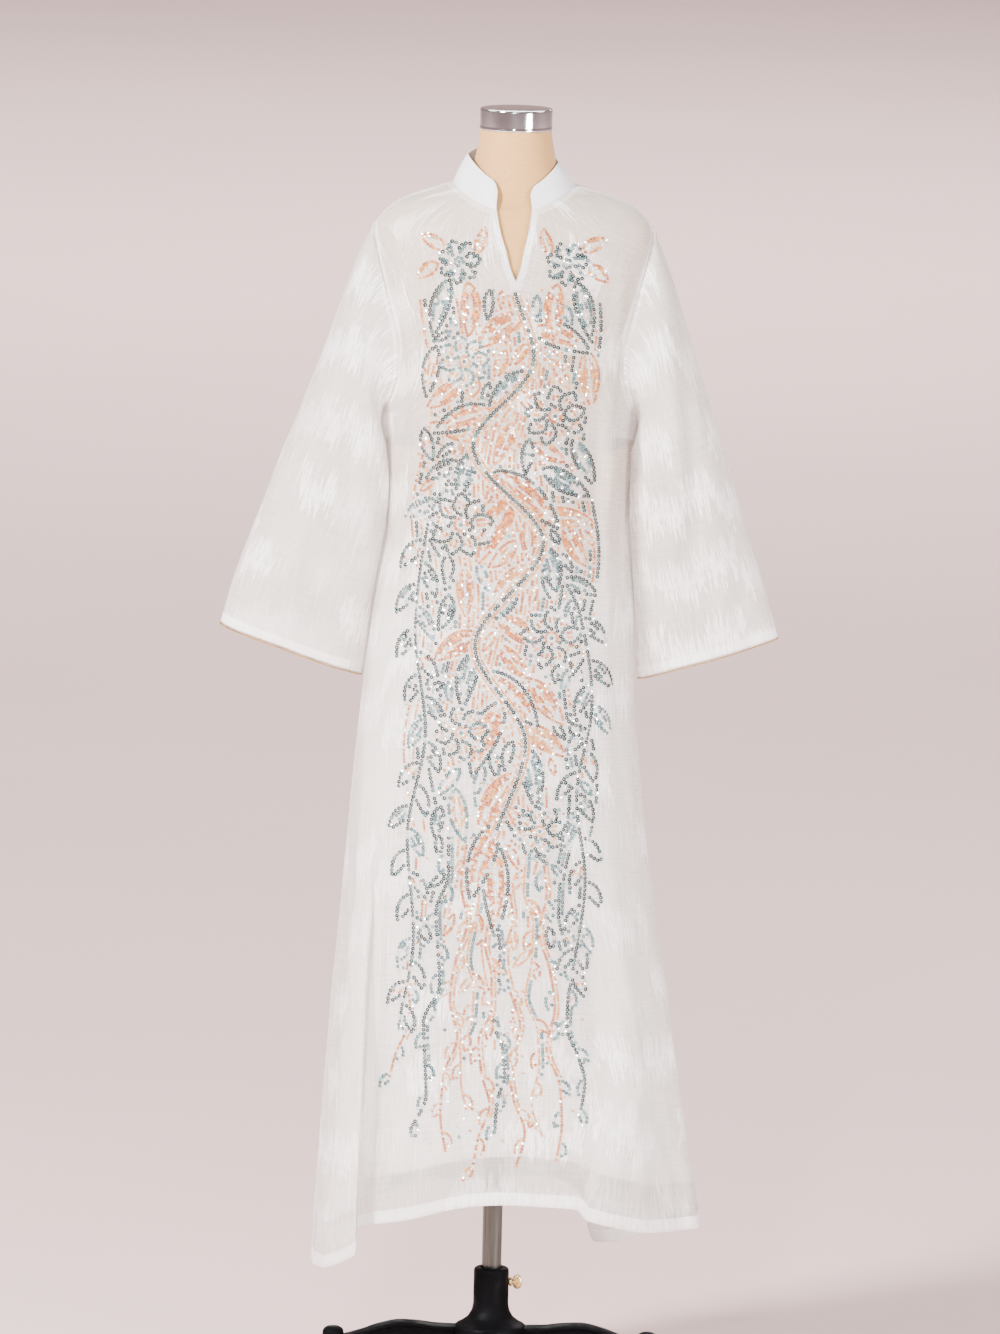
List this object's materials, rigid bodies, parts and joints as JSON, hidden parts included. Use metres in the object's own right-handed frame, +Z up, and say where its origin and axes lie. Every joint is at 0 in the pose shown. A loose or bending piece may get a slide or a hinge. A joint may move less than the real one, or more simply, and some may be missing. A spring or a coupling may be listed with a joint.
{
  "type": "abaya on a dress form stand",
  "caption": "Ankle-length abaya of off-white gauze with flared sleeves, stand collar and front slit, on a limbless dress form whose stand adjusts in height and lets the form turn.",
  "frame": {"origin": "on the floor, on the axis of the stand's pole", "axes": "+Z up the pole, the front of the garment faces -Y, and +X is on the right of someone who looks at its front"},
  "size_m": [0.7524, 0.469, 1.771],
  "materials": {
    "gauze": "matte",
    "collar_cloth": "matte",
    "slip": "matte",
    "gold_cord": "satin",
    "cream_cover": "matte",
    "chrome": "polished",
    "pole_steel": "satin",
    "black_iron": "satin",
    "brass": "satin",
    "rubber": "matte"
  },
  "bodies": {
    "stand": {"base": "black_iron", "foot_1": "rubber", "foot_2": "rubber", "foot_3": "rubber", "foot_4": "rubber"},
    "post": {"pole": "pole_steel"},
    "form": {"torso": "cream_cover", "neck_cap": "chrome", "front": "gauze", "back": "gauze", "sleeve_left": "gauze", "sleeve_right": "gauze", "collar": "collar_cloth", "slit_facing": "collar_cloth", "cuff_piping_left": "gold_cord", "cuff_piping_right": "gold_cord", "lining": "slip"},
    "screw": {"thumb_screw": "brass"}
  },
  "joints": [
    {"name": "height_slide", "type": "slide", "parent": "stand", "child": "post", "axis": [0, 0, 1], "range_m": [-0.06, 0.07]},
    {"name": "form_turn", "type": "hinge", "parent": "post", "child": "form", "pos_m": [0, 0, 1], "axis": [0, 0, 1], "continuous": true},
    {"name": "screw_turn", "type": "hinge", "parent": "stand", "child": "screw", "pos_m": [0.033, 0, 0.167], "axis": [1, 0, 0], "range_deg": [0, 360]}
  ]
}
